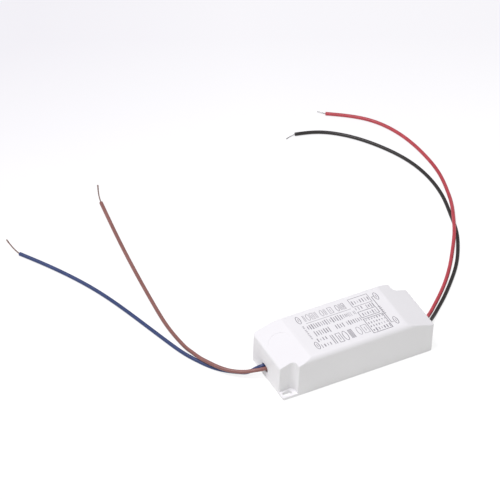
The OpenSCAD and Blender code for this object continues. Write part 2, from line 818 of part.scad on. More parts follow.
module output_diode() {
    color("#303030") lying_part(diode_at, 0, diode_l, diode_d, diode_pitch);
}

module output_capacitor() {
    color("#20242c") upright_can(output_can_at, output_can_d, output_can_h, can_pitch, 90);
}

module load_resistor() {
    color("lightsteelblue") lying_part(load_at, 0, small_l, small_d, small_pitch);
}

module live_wire() {
    color("#8a5a4a") swept_tube(live_route, input_wire_d, first_heading(live_route));
}

module neutral_wire() {
    color("#3f4f86") swept_tube(neutral_route, input_wire_d, first_heading(neutral_route));
}

module positive_wire() {
    color("#b02c34") swept_tube(positive_route, output_wire_d, first_heading(positive_route));
}

module negative_wire() {
    color("#242424") swept_tube(negative_route, output_wire_d, first_heading(negative_route));
}

module live_wire_end() {
    route = tail_route(-1, live_route, live_tail, input_strand_d);
    color("#b08d74") swept_tube(route, input_strand_d, last_heading(live_route));
}

module neutral_wire_end() {
    route = tail_route(-1, neutral_route, neutral_tail, input_strand_d);
    color("#b08d74") swept_tube(route, input_strand_d, last_heading(neutral_route));
}

module positive_wire_end() {
    route = tail_route(1, positive_route, positive_tail, output_strand_d);
    color("silver") swept_tube(route, output_strand_d, last_heading(positive_route));
}

module negative_wire_end() {
    route = tail_route(1, negative_route, negative_tail, output_strand_d);
    color("silver") swept_tube(route, output_strand_d, last_heading(negative_route));
}

upper_housing();
base_cover();
circuit_board();
solder_joints();
fuse_resistor();
varistor();
film_capacitor();
choke_core();
choke_winding();
bridge_rectifier();
input_capacitor();
controller_chip();
supply_capacitor();
clamp_diode();
clamp_resistor();
transformer_bobbin();
transformer_winding();
transformer_core_left();
transformer_core_right();
transformer_tape();
safety_capacitor();
output_diode();
output_capacitor();
load_resistor();
live_wire();
neutral_wire();
positive_wire();
negative_wire();
live_wire_end();
neutral_wire_end();
positive_wire_end();
negative_wire_end();
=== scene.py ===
import math

import bmesh
import bpy
import numpy as np
from mathutils import Matrix, Vector
from mathutils.bvhtree import BVHTree


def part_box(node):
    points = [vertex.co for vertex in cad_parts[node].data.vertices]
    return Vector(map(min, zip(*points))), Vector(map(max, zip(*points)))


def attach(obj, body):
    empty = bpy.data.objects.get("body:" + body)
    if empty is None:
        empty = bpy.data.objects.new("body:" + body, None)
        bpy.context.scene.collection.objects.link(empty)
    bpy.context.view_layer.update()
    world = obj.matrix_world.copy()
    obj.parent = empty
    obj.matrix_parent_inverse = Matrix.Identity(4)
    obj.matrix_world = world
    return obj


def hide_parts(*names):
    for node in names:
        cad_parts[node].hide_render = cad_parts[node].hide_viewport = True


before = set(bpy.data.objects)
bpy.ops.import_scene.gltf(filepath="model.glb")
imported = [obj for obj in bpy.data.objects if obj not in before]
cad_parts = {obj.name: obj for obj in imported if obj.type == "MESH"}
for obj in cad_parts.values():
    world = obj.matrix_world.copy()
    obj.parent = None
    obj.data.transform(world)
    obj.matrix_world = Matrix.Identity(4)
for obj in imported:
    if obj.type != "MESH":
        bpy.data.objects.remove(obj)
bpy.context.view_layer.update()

# Circuit board: a sheet of amber resin-bonded paper, lacquered green over the copper tracks on its
# underside. It lies on the base cover's posts, and four ribs of the housing hold it down.


def tone(red, green, blue):
    """A colour as a colour picker shows it, 0 to 255, turned into the linear values that shaders take."""
    shares = (red / 255, green / 255, blue / 255)
    return tuple(c / 12.92 if c <= 0.04045 else ((c + 0.055) / 1.055) ** 2.4 for c in shares) + (1.0,)


def feed(node, inputs):
    """Gives a node its inputs, by name or number: each is a fixed value or another node's output."""
    for socket, value in inputs.items():
        if isinstance(value, bpy.types.NodeSocket):
            node.id_data.links.new(value, node.inputs[socket])
        else:
            node.inputs[socket].default_value = value


def add_node(tree, kind, inputs=None, **settings):
    """A new node in a tree; its settings come first, because they decide which inputs it has."""
    node = tree.nodes.new(kind)
    for label, value in settings.items():
        setattr(node, label, value)
    feed(node, inputs or {})
    return node


def calculated(tree, operation, *values):
    """The result of arithmetic on numbers and other nodes' outputs."""
    return add_node(tree, "ShaderNodeMath", dict(enumerate(values)), operation=operation).outputs["Value"]


def parts_of(tree, vector):
    """The X, Y and Z of a vector."""
    return add_node(tree, "ShaderNodeSeparateXYZ", {"Vector": vector}).outputs


def place_on(tree):
    """Where a point of the object lies, in metres."""
    return add_node(tree, "ShaderNodeTexCoord").outputs["Object"]


def ranged(tree, value, start, end, low=0.0, high=1.0):
    """Turns the span from start to end into the span from low to high, and holds its ends beyond it."""
    return add_node(tree, "ShaderNodeMapRange", {
        "Value": value, "From Min": start, "From Max": end, "To Min": low, "To Max": high,
    }).outputs["Result"]


def colour_between(tree, mask, low, high):
    """Mixes two colours, each a fixed colour or another node's output, by a mask."""
    mix = add_node(tree, "ShaderNodeMix", {"Factor": mask, "A": low, "B": high}, data_type="RGBA")
    return mix.outputs["Result"]


def height_mask(tree, edge, width):
    """1 above the height edge, 0 below it, over a short ramp; in metres."""
    return ranged(tree, parts_of(tree, place_on(tree))["Z"], edge - width / 2, edge + width / 2)


def new_group(kind, name, inputs, outputs):
    """An empty node group with named sockets, with what it is given and the node that takes its results."""
    group = bpy.data.node_groups.new(name, kind)
    for in_out, sockets in (("INPUT", inputs), ("OUTPUT", outputs)):
        for label, socket in sockets.items():
            group.interface.new_socket(label, in_out=in_out, socket_type="NodeSocket" + socket)
    return group, group.nodes.new("NodeGroupInput").outputs, group.nodes.new("NodeGroupOutput")


def make_surface_mottle():
    """Slow drift between two colours, with a fine grain that carries the roughness and the height."""
    group, given, result = new_group("ShaderNodeTree", "surface_mottle", {
        "Main": "Color", "Drift": "Color", "Drift Scale": "Float", "Grain Scale": "Float",
        "Smoothest": "Float", "Roughest": "Float",
    }, {"Color": "Color", "Roughness": "Float", "Height": "Float"})
    place = place_on(group)
    drift, grain = (
        add_node(group, "ShaderNodeTexNoise", {"Vector": place, "Scale": given[scale], "Detail": detail})
        for scale, detail in (("Drift Scale", 4.0), ("Grain Scale", 2.0))
    )
    # Noise keeps to the middle of its range, so that span is drawn out over the whole
    span = (0.3, 0.7)
    drift_share = ranged(group, drift.outputs["Fac"], *span)
    feed(result, {
        "Color": colour_between(group, drift_share, given["Main"], given["Drift"]),
        "Roughness": ranged(group, grain.outputs["Fac"], *span, given["Smoothest"], given["Roughest"]),
        "Height": grain.outputs["Fac"],
    })
    return group


surface_mottle = make_surface_mottle()


def mottled(name, main, drift, scales, roughness, bump):
    """A material from the mottle group, with its shader and colour; bump is in metres."""
    mat = bpy.data.materials.new(name)
    mat.use_nodes = True
    surface = add_node(mat.node_tree, "ShaderNodeGroup", {
        "Main": main, "Drift": drift, "Drift Scale": scales[0], "Grain Scale": scales[1],
        "Smoothest": roughness[0], "Roughest": roughness[1],
    }, node_tree=surface_mottle).outputs
    relief = add_node(mat.node_tree, "ShaderNodeBump", {"Distance": bump, "Height": surface["Height"]})
    shader = mat.node_tree.nodes["Principled BSDF"]
    feed(shader, {
        "Base Color": surface["Color"],
        "Roughness": surface["Roughness"],
        "Normal": relief.outputs["Normal"],
    })
    return mat, shader, surface["Color"]


def finish_node(name, mat):
    """Puts a material on a CAD node that keeps its own mesh."""
    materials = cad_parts[name].data.materials
    materials.clear()
    materials.append(mat)


LACQUER_DEPTH = 0.00008
laminate, laminate_shader, laminate_colour = mottled(
    "board_laminate", tone(196, 158, 92), tone(176, 134, 70),
    scales=(160.0, 2200.0), roughness=(0.38, 0.55), bump=0.00002,
)
tree = laminate.node_tree
tracks = add_node(
    tree, "ShaderNodeTexVoronoi", {"Vector": place_on(tree), "Scale": 210.0}, feature="DISTANCE_TO_EDGE"
)
between_tracks = ranged(tree, tracks.outputs["Distance"], 0.05, 0.08)
lacquer = colour_between(tree, between_tracks, tone(120, 108, 52), tone(46, 96, 58))
above_lacquer = height_mask(tree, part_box("circuit_board")[0][2] + LACQUER_DEPTH, LACQUER_DEPTH / 2)
feed(laminate_shader, {"Base Color": colour_between(tree, above_lacquer, lacquer, laminate_colour)})
finish_node("circuit_board", laminate)

# Solder: tin alloy, wave-soldered in a small cone round every lead and by hand over the inner end of
# each wire. It has set with a slightly frosted skin.
solder, solder_shader, _ = mottled(
    "solder", tone(214, 215, 217), tone(186, 188, 192),
    scales=(900.0, 6000.0), roughness=(0.18, 0.42), bump=0.00003,
)
solder_shader.inputs["Metallic"].default_value = 1.0
finish_node("solder_joints", solder)

# Lying parts: a fusible resistor, two small resistors and two diodes with painted bands. Each is a coated
# body with a tinned lead out of both ends, bent down through the board.


def combined(tree, operation, *vectors):
    """The vector that arithmetic on vectors gives."""
    return add_node(
        tree, "ShaderNodeVectorMath", dict(enumerate(vectors)), operation=operation
    ).outputs["Vector"]


def make_inside_box():
    """1 inside an upright box, 0 outside: keeps a coat on a body and off its leads."""
    group, given, result = new_group(
        "ShaderNodeTree", "inside_box", {"Centre": "Vector", "Half Size": "Vector"}, {"Mask": "Float"}
    )
    reach = combined(group, "ABSOLUTE", combined(group, "SUBTRACT", place_on(group), given["Centre"]))
    x, y, z = parts_of(group, combined(group, "SUBTRACT", given["Half Size"], reach))
    least = calculated(group, "MINIMUM", calculated(group, "MINIMUM", x, y), z)
    feed(result, {"Mask": calculated(group, "GREATER_THAN", least, 0.0)})
    return group


inside_box = make_inside_box()
TINNED_LEAD = tone(205, 206, 208)


def with_leads(mat, shader, coat, centre, half_size):
    """Bare tinned metal outside the box that holds the part's body, and its coat inside it."""
    tree = mat.node_tree
    body = add_node(
        tree, "ShaderNodeGroup", {"Centre": centre, "Half Size": half_size}, node_tree=inside_box
    ).outputs["Mask"]
    feed(shader, {
        "Base Color": colour_between(tree, body, TINNED_LEAD, coat),
        "Metallic": calculated(tree, "SUBTRACT", 1.0, body),
    })


def banded(tree, coat, axis, centre, length, width, bands):
    """Paints bands of one width round a lying body: each is its place along the body and its colour."""
    along = parts_of(tree, place_on(tree))[axis]
    for place, colour in bands:
        on_band = calculated(tree, "COMPARE", along, centre + (place - 0.5) * length, width / 2)
        coat = colour_between(tree, on_band, coat, colour)
    return coat


def middle(name):
    """The middle of a CAD node's box."""
    return [(low + high) / 2 for low, high in zip(*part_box(name))]


COAT_SPARE = 0.0001
BROWN_BAND, BLACK_BAND, RED_BAND = tone(88, 48, 26), tone(26, 24, 24), tone(160, 34, 30)
GOLD_BAND, SILVER_BAND = tone(190, 150, 60), tone(206, 206, 204)
GREEN_COAT = tone(62, 112, 84), tone(50, 96, 72)
BLUE_COAT = tone(122, 158, 190), tone(106, 142, 176)
BLACK_COAT = tone(38, 38, 40), tone(30, 30, 32)
# Each part's axis, body length and thickness, two tones of its coat, the bands' width, and the bands
for part, axis, length, thickness, coat_tones, band_w, bands in (
    ("fuse_resistor", "X", 0.009, 0.0034, GREEN_COAT, 0.0009,
     ((0.2, BROWN_BAND), (0.38, BLACK_BAND), (0.56, BLACK_BAND), (0.82, GOLD_BAND))),
    ("clamp_resistor", "Y", 0.006, 0.0024, BLUE_COAT, 0.0005,
     ((0.14, BROWN_BAND), (0.3, BLACK_BAND), (0.45, BLACK_BAND), (0.6, RED_BAND), (0.86, BROWN_BAND))),
    ("load_resistor", "X", 0.006, 0.0024, BLUE_COAT, 0.0005,
     ((0.14, RED_BAND), (0.3, RED_BAND), (0.45, BLACK_BAND), (0.6, BROWN_BAND), (0.86, BROWN_BAND))),
    ("clamp_diode", "X", 0.006, 0.0024, BLACK_COAT, 0.0009, ((0.86, SILVER_BAND),)),
    ("output_diode", "X", 0.009, 0.005, BLACK_COAT, 0.0012, ((0.86, SILVER_BAND),)),
):
    coated, coated_shader, coat = mottled(
        part + "_coat", *coat_tones, scales=(700.0, 4200.0), roughness=(0.3, 0.48), bump=0.00002
    )
    along = "XY".index(axis)
    body_middle = middle(part)
    body_middle[2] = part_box(part)[1][2] - thickness / 2
    body_half = [thickness / 2 + COAT_SPARE] * 3
    body_half[along] = length / 2 + COAT_SPARE
    coat = banded(coated.node_tree, coat, axis, body_middle[along], length, band_w, bands)
    with_leads(coated, coated_shader, coat, body_middle, body_half)
    finish_node(part, coated)

# Upright capacitors: rolled aluminium cans in a shrunk dark sleeve with one pale stripe down the side. The
# bare can end shows on top, scored with a cross, and the rubber seal sits in the rolled groove below.
RIM_SHARE, GROOVE_SHARE = 0.41, 0.016
RIM_DEPTH, RIM_RAMP = 0.0004, 0.0002
for part, can_d, can_h in (
    ("input_capacitor", 0.010, 0.016),
    ("output_capacitor", 0.010, 0.016),
    ("supply_capacitor", 0.005, 0.011),
):
    sleeve, sleeve_shader, sleeve_colour = mottled(
        part + "_sleeve", tone(30, 34, 46), tone(24, 27, 38),
        scales=(320.0, 3000.0), roughness=(0.22, 0.34), bump=0.00001,
    )
    tree = sleeve.node_tree
    can_x, can_y, _ = middle(part)
    can_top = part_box(part)[1][2]
    from_axis = combined(tree, "SUBTRACT", place_on(tree), (can_x, can_y, 0.0))
    x, y, _ = parts_of(tree, from_axis)
    # The stripe covers a sixth of the way round, on the side of the negative lead
    stripe = calculated(tree, "COMPARE", calculated(tree, "ARCTAN2", x, y), 0.0, math.pi / 6)
    side = colour_between(tree, stripe, sleeve_colour, tone(150, 156, 166))
    # The can's end shows inside the sleeve's rim, with painted shade in its two scored grooves
    flat = combined(tree, "MULTIPLY", from_axis, (1.0, 1.0, 0.0))
    radius = add_node(tree, "ShaderNodeVectorMath", {0: flat}, operation="LENGTH").outputs["Value"]
    in_rim = calculated(tree, "LESS_THAN", radius, can_d * RIM_SHARE)
    on_top = calculated(tree, "MULTIPLY", in_rim, height_mask(tree, can_top - RIM_DEPTH, RIM_RAMP))
    grooves = [calculated(tree, "COMPARE", across, 0.0, can_d * GROOVE_SHARE) for across in (x, y)]
    cross = calculated(tree, "MAXIMUM", *grooves)
    # The dark grey of the cross is painted shade in the scored grooves
    can_end = colour_between(tree, cross, tone(202, 204, 206), tone(110, 112, 116))
    with_leads(
        sleeve, sleeve_shader, colour_between(tree, on_top, side, can_end),
        (can_x, can_y, can_top - can_h / 2),
        (can_d / 2 + 2 * COAT_SPARE, can_d / 2 + 2 * COAT_SPARE, can_h / 2 + COAT_SPARE / 2),
    )
    finish_node(part, sleeve)

# Discs: a surge varistor and a safety capacitor. Each is a ceramic disc dipped in blue epoxy, which has run
# a little way down the two leads it stands on.
DIP_SIDE, DIP_RUN = 0.001, 0.0006
for part, disc_d, main, drift in (
    ("varistor", 0.009, tone(36, 72, 150), tone(28, 58, 128)),
    ("safety_capacitor", 0.0085, tone(52, 112, 164), tone(42, 98, 150)),
):
    dipped, dipped_shader, dipped_colour = mottled(
        part + "_dip", main, drift, scales=(420.0, 1500.0), roughness=(0.16, 0.3), bump=0.00005
    )
    disc_middle = middle(part)
    disc_middle[2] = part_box(part)[1][2] - disc_d / 2
    disc_half = (disc_d / 2 + DIP_SIDE, disc_d / 2 + DIP_SIDE, disc_d / 2 + DIP_RUN)
    with_leads(dipped, dipped_shader, dipped_colour, disc_middle, disc_half)
    finish_node(part, dipped)

# Film capacitor: a roll of metallised film in a yellow moulded box, potted with resin from below. It
# stands on the board on two small feet, held by its two leads.
FILM_H = 0.011
film, film_shader, film_colour = mottled(
    "film_box", tone(226, 178, 48), tone(214, 164, 40),
    scales=(260.0, 3600.0), roughness=(0.34, 0.5), bump=0.00002,
)
film_low, film_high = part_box("film_capacitor")
film_middle = middle("film_capacitor")
film_middle[2] = film_high[2] - FILM_H / 2
film_half = [(high - low) / 2 + COAT_SPARE for low, high in zip(film_low, film_high)]
film_half[2] = FILM_H / 2 + COAT_SPARE / 10
with_leads(film, film_shader, film_colour, film_middle, film_half)
finish_node("film_capacitor", film)

# Ferrite: pressed and sintered, dark grey and dusty matt. The choke's drum and the transformer's two
# E-shaped halves are made of it; the halves slide into the bobbin from its two ends.
ferrite, _, _ = mottled(
    "sintered_ferrite", tone(66, 67, 70), tone(52, 53, 56),
    scales=(900.0, 5200.0), roughness=(0.62, 0.85), bump=0.00005,
)
for part in ("choke_core", "transformer_core_left", "transformer_core_right"):
    finish_node(part, ferrite)

# Choke winding: enamelled copper wire, wound in close turns on the ferrite drum between its two flanges.
# The enamel shows the copper through, and painted shade darkens the grooves between turns.
enamel, enamel_shader, enamel_colour = mottled(
    "enamelled_copper", tone(168, 92, 48), tone(146, 74, 36),
    scales=(500.0, 2500.0), roughness=(0.2, 0.34), bump=0.00001,
)
tree = enamel.node_tree
turns = add_node(
    tree, "ShaderNodeTexWave", {"Vector": place_on(tree), "Scale": 900.0, "Distortion": 0.3},
    wave_type="BANDS", bands_direction="Z",
).outputs["Fac"]
turn_relief = add_node(tree, "ShaderNodeBump", {"Distance": 0.0001, "Height": turns})
# The darker brown in the grooves between turns is painted shade
feed(enamel_shader, {
    "Base Color": colour_between(tree, turns, tone(96, 46, 22), enamel_colour),
    "Normal": turn_relief.outputs["Normal"],
})
enamel_shader.inputs["Metallic"].default_value = 0.8
finish_node("choke_winding", enamel)

# Moulded packages: the bridge rectifier and the controller, in black filled epoxy with a fine spark-eroded
# grain. Flat tinned leads come out at half height and turn down through the board.
PACKAGE_H, PACKAGE_W = 0.0033, 0.0064
for part, package_l in (("bridge_rectifier", 0.0084), ("controller_chip", 0.0094)):
    epoxy, epoxy_shader, epoxy_colour = mottled(
        part + "_epoxy", tone(44, 44, 47), tone(36, 36, 39),
        scales=(600.0, 7000.0), roughness=(0.5, 0.7), bump=0.00003,
    )
    package_middle = middle(part)
    package_middle[2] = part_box(part)[1][2] - PACKAGE_H / 2
    package_half = (package_l / 2 + COAT_SPARE, PACKAGE_W / 2, PACKAGE_H / 2 + COAT_SPARE / 2)
    with_leads(epoxy, epoxy_shader, epoxy_colour, package_middle, package_half)
    finish_node(part, epoxy)

# Transformer: a black phenolic bobbin with two rows of pins, wound and wrapped in yellow polyester tape.
# Another turn of the tape holds the two core halves together.
BOBBIN_REACH = 0.02
bobbin, bobbin_shader, bobbin_colour = mottled(
    "phenolic_bobbin", tone(46, 44, 43), tone(36, 34, 33),
    scales=(500.0, 3600.0), roughness=(0.4, 0.6), bump=0.00003,
)
bobbin_top, board_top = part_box("transformer_bobbin")[1][2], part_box("circuit_board")[1][2]
bobbin_middle = middle("transformer_bobbin")
bobbin_middle[2] = (board_top + bobbin_top) / 2
bobbin_half = (BOBBIN_REACH, BOBBIN_REACH, (bobbin_top - board_top) / 2 + COAT_SPARE / 2)
with_leads(bobbin, bobbin_shader, bobbin_colour, bobbin_middle, bobbin_half)
finish_node("transformer_bobbin", bobbin)
tape, tape_shader, tape_colour = mottled(
    "polyester_tape", tone(228, 186, 62), tone(214, 168, 48),
    scales=(240.0, 1800.0), roughness=(0.16, 0.28), bump=0.00002,
)
tree = tape.node_tree
laps = add_node(
    tree, "ShaderNodeTexWave", {"Vector": place_on(tree), "Scale": 60.0, "Distortion": 1.5},
    bands_direction="Z",
)
lap_edge = ranged(tree, laps.outputs["Fac"], 0.85, 1.0)
feed(tape_shader, {"Base Color": colour_between(tree, lap_edge, tape_colour, tone(188, 140, 34))})
for part in ("transformer_winding", "transformer_tape"):
    finish_node(part, tape)

# Wires: stranded copper in coloured PVC, brown and blue for the mains, red and black for the output. Each
# is soldered to the board, leaves through the hole in its end wall and lies loose on the table.
MM = 0.001


def spline_through(values, steps):
    """Second derivatives of the smooth curve through values spaced by steps, with free ends."""
    count = len(values)
    system = np.zeros((count, count))
    right = np.zeros(count)
    system[0, 0] = system[-1, -1] = 1.0
    for i in range(1, count - 1):
        before, after = steps[i - 1], steps[i]
        system[i, i - 1:i + 2] = before, 2 * (before + after), after
        right[i] = 6 * ((values[i + 1] - values[i]) / after - (values[i] - values[i - 1]) / before)
    return np.linalg.solve(system, right)


def settled_slopes(values, steps):
    """Slopes that let a height rise and fall between values without passing them, so no wire dips."""
    rise = np.diff(values) / steps
    slopes = np.zeros(len(values))
    slopes[0], slopes[-1] = rise[0], rise[-1]
    for i in range(1, len(values) - 1):
        if rise[i - 1] * rise[i] > 0:
            slopes[i] = 2 * rise[i - 1] * rise[i] / (rise[i - 1] + rise[i])
    return slopes


def wire_path(route_mm, spacing):
    """Points every spacing metres or so along one smooth curve through a route given in millimetres."""
    route = np.array(route_mm) * MM
    steps = np.linalg.norm(np.diff(route, axis=0), axis=1)
    bend_x, bend_y = spline_through(route[:, 0], steps), spline_through(route[:, 1], steps)
    slope_z = settled_slopes(route[:, 2], steps)
    points = []
    for i, step in enumerate(steps):
        for t in np.arange(0, 1, 1 / max(2, round(step / spacing))):
            u = 1 - t
            plan = [
                u * values[i] + t * values[i + 1]
                + step**2 / 6 * ((u**3 - u) * bend[i] + (t**3 - t) * bend[i + 1])
                for values, bend in ((route[:, 0], bend_x), (route[:, 1], bend_y))
            ]
            height = (
                (1 + 2 * t) * u**2 * route[i, 2] + t * u**2 * step * slope_z[i]
                + t**2 * (3 - 2 * t) * route[i + 1, 2] + t**2 * (t - 1) * step * slope_z[i + 1]
            )
            points.append(Vector((*plan, height)))
    points.append(Vector(route[-1]))
    return points


def sheath_mesh(name, path, radius, sides):
    """A closed tube along a path, with a UV map round and along it, and a slightly rounded cut end."""
    lip = radius * 0.18
    rings = [(path[0], 0.0), (path[0], radius)]
    rings += [(p, radius) for p in path[1:-1]]
    onward = (path[-1] - path[-2]).normalized()
    rings += [(path[-1] - onward * lip, radius), (path[-1], radius - lip), (path[-1], 0.0)]
    mesh = bmesh.new()
    uv = mesh.loops.layers.uv.new("along_wire")
    loops, lengths, travelled = [], [], 0.0
    across = None
    for i, (centre, ring_radius) in enumerate(rings):
        before, after = rings[max(i - 1, 0)][0], rings[min(i + 1, len(rings) - 1)][0]
        heading = (after - before).normalized() if (after - before).length > 1e-9 else onward
        if across is None:
            across = heading.cross(Vector((0, 0, 1))).normalized()
        across = (across - heading * across.dot(heading)).normalized()
        up = across.cross(heading)
        travelled += (centre - before).length
        lengths.append(travelled)
        if ring_radius == 0.0:
            loops.append([mesh.verts.new(centre)])
            continue
        loops.append([
            mesh.verts.new(centre + ring_radius * (across * math.cos(a) + up * math.sin(a)))
            for a in (2 * math.pi * k / sides for k in range(sides))
        ])
    for i in range(len(loops) - 1):
        near, far = loops[i], loops[i + 1]
        for k in range(sides):
            n = (k + 1) % sides
            if len(near) == 1:
                corners = [(near[0], k, i), (far[k], k, i + 1), (far[n], k + 1, i + 1)]
            elif len(far) == 1:
                corners = [(near[n], k + 1, i), (near[k], k, i), (far[0], k, i + 1)]
            else:
                corners = [(near[k], k, i), (far[k], k, i + 1), (far[n], k + 1, i + 1), (near[n], k + 1, i)]
            face = mesh.faces.new([c[0] for c in corners])
            face.smooth = True
            for loop, (_, turn, ring) in zip(face.loops, corners):
                loop[uv].uv = (turn / sides, lengths[ring])
    bmesh.ops.recalc_face_normals(mesh, faces=mesh.faces)
    data = bpy.data.meshes.new(name)
    mesh.to_mesh(data)
    mesh.free()
    data.set_sharp_from_angle(angle=math.radians(60))
    return data


def sheath_material(name, main, drift):
    """Extruded PVC: faint streaks and waves along the wire, and a soft sheen."""
    mat, shader, colour = mottled(
        name, main, drift, scales=(220.0, 2600.0), roughness=(0.36, 0.5), bump=0.00001
    )
    tree = mat.node_tree
    round_and_along = add_node(tree, "ShaderNodeUVMap").outputs["UV"]
    stretch = add_node(tree, "ShaderNodeMapping", {"Vector": round_and_along, "Scale": (9.0, 60.0, 1.0)})
    streak = add_node(
        tree, "ShaderNodeTexNoise", {"Vector": stretch.outputs["Vector"], "Scale": 1.0}
    ).outputs["Fac"]
    wave = add_node(tree, "ShaderNodeBump", {"Distance": 0.00006, "Height": streak})
    shade = ranged(tree, streak, 0.35, 0.7, 0.0, 0.6)
    feed(shader, {
        "Base Color": colour_between(tree, shade, colour, drift), "Normal": wave.outputs["Normal"],
    })
    return mat


def realized(tree, geometry, material):
    """How a tree ends: instances become real geometry, which gets its material."""
    real = add_node(tree, "GeometryNodeRealizeInstances", {"Geometry": geometry}).outputs["Geometry"]
    return add_node(
        tree, "GeometryNodeSetMaterial", {"Geometry": real, "Material": material}
    ).outputs["Geometry"]


def make_twisted_strands():
    """Copper strands laid round one in the middle, twisted along a path and spread a little at its end."""
    tree, given, result = new_group("GeometryNodeTree", "twisted_strands", {
        "Path": "Geometry", "Strands": "Int", "Strand Radius": "Float", "Lay Radius": "Float",
        "Turns": "Float", "Spread": "Float", "Seed": "Int", "Metal": "Material",
    }, {"Bundle": "Geometry"})
    line = add_node(tree, "GeometryNodeMeshToCurve", {"Mesh": given["Path"]})
    copies = add_node(tree, "GeometryNodeDuplicateElements", {
        "Geometry": line.outputs["Curve"], "Amount": given["Strands"],
    }, domain="SPLINE")
    number = copies.outputs["Duplicate Index"]
    along = add_node(tree, "GeometryNodeSplineParameter").outputs["Factor"]
    # The first strand stays in the middle, and the others share out the way round it
    outer = calculated(tree, "GREATER_THAN", number, 0.5)
    share = calculated(tree, "DIVIDE", number, calculated(tree, "SUBTRACT", given["Strands"], 1.0))
    turned = calculated(tree, "ADD", share, calculated(tree, "MULTIPLY", along, given["Turns"]))
    angle = calculated(tree, "MULTIPLY", turned, 2 * math.pi)
    # Near the end each strand leaves the bundle by its own chance amount
    chance = add_node(tree, "FunctionNodeRandomValue", {
        "ID": number, "Seed": given["Seed"],
    }, data_type="FLOAT")
    late = calculated(tree, "MULTIPLY", calculated(tree, "POWER", along, 6.0), given["Spread"])
    fray = calculated(tree, "MULTIPLY", late, chance.outputs["Value"])
    reach = calculated(tree, "ADD", calculated(tree, "MULTIPLY", outer, given["Lay Radius"]), fray)
    normal = add_node(tree, "GeometryNodeInputNormal").outputs["Normal"]
    tangent = add_node(tree, "GeometryNodeInputTangent").outputs["Tangent"]
    offset = combined(tree, "ADD", *(
        add_node(tree, "ShaderNodeVectorMath", {
            0: direction, "Scale": calculated(tree, "MULTIPLY", reach, calculated(tree, turn, angle)),
        }, operation="SCALE").outputs["Vector"]
        for direction, turn in (
            (normal, "COSINE"), (combined(tree, "CROSS_PRODUCT", tangent, normal), "SINE"),
        )
    ))
    laid = add_node(tree, "GeometryNodeSetPosition", {
        "Geometry": copies.outputs["Geometry"], "Offset": offset,
    })
    # A strand that spreads downwards stops on the table
    x, y, z = parts_of(tree, add_node(tree, "GeometryNodeInputPosition").outputs["Position"])
    rested = add_node(tree, "ShaderNodeCombineXYZ", {
        "X": x, "Y": y, "Z": calculated(tree, "MAXIMUM", z, given["Strand Radius"]),
    })
    held = add_node(tree, "GeometryNodeSetPosition", {
        "Geometry": laid.outputs["Geometry"], "Position": rested.outputs["Vector"],
    })
    round_wire = add_node(tree, "GeometryNodeCurvePrimitiveCircle", {
        "Resolution": 7, "Radius": given["Strand Radius"],
    })
    skin = add_node(tree, "GeometryNodeCurveToMesh", {
        "Curve": held.outputs["Geometry"], "Profile Curve": round_wire.outputs["Curve"], "Fill Caps": True,
    })
    smooth = add_node(tree, "GeometryNodeSetShadeSmooth", {"Geometry": skin.outputs["Mesh"]})
    feed(result, {"Bundle": realized(tree, smooth.outputs["Geometry"], given["Metal"])})
    return tree


def new_object(name, data):
    """A new object in the scene, at the origin."""
    made = bpy.data.objects.new(name, data)
    bpy.context.scene.collection.objects.link(made)
    return made


def made_by(tree, name, start_mesh, values):
    """Runs a Geometry Nodes tree on a mesh with the named input values, and keeps a plain mesh."""
    maker = new_object(name, start_mesh)
    modifier = maker.modifiers.new("make", "NODES")
    modifier.node_group = tree
    for socket in tree.interface.items_tree:
        if socket.in_out == "INPUT" and socket.name in values:
            modifier[socket.identifier] = values[socket.name]
    maker.update_tag()
    evaluated = maker.evaluated_get(bpy.context.evaluated_depsgraph_get())
    made = bpy.data.meshes.new_from_object(evaluated)
    maker.modifiers.remove(modifier)
    maker.data = made
    made.name = name
    return maker


WIRE_D, SHEATH_SIDES, SHEATH_SPACING, TAIL_SPACING = 0.0022, 20, 0.0012, 0.0005
STRANDS, LAY_LENGTH = 7, 0.006
twisted_strands = make_twisted_strands()
metals = {}
for metal_slot, main, drift, metal_roughness in (
    ("bare_copper", tone(186, 158, 147), tone(160, 132, 122), (0.26, 0.45)),
    ("tinned_copper", tone(216, 215, 214), tone(182, 181, 180), (0.24, 0.42)),
):
    metals[metal_slot], metal_shader, _ = mottled(
        metal_slot, main, drift, scales=(900.0, 5000.0), roughness=metal_roughness, bump=0.00001
    )
    metal_shader.inputs["Metallic"].default_value = 0.9
